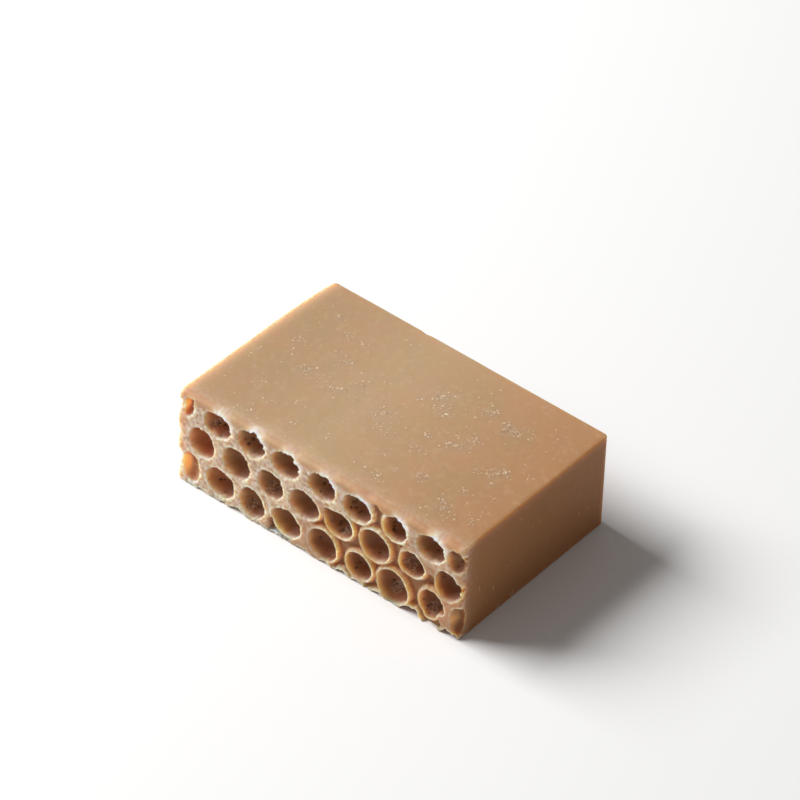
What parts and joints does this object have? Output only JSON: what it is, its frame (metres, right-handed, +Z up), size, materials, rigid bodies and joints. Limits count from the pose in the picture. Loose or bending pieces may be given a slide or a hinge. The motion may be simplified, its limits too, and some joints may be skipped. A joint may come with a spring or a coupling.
{
  "type": "bar of soap",
  "caption": "Handmade cut bar of soap with a honeycomb of bubble-film hollows printed along one long side.",
  "frame": {"origin": "middle of the bar's footprint, on the underside", "axes": "+X along the bar's length, +Y from the side with the bubble print to the plain back, +Z up"},
  "size_m": [0.0882, 0.0558, 0.0285],
  "materials": {
    "soap": "satin"
  },
  "bodies": {
    "root": {"soap_bar": "soap"}
  },
  "joints": []
}
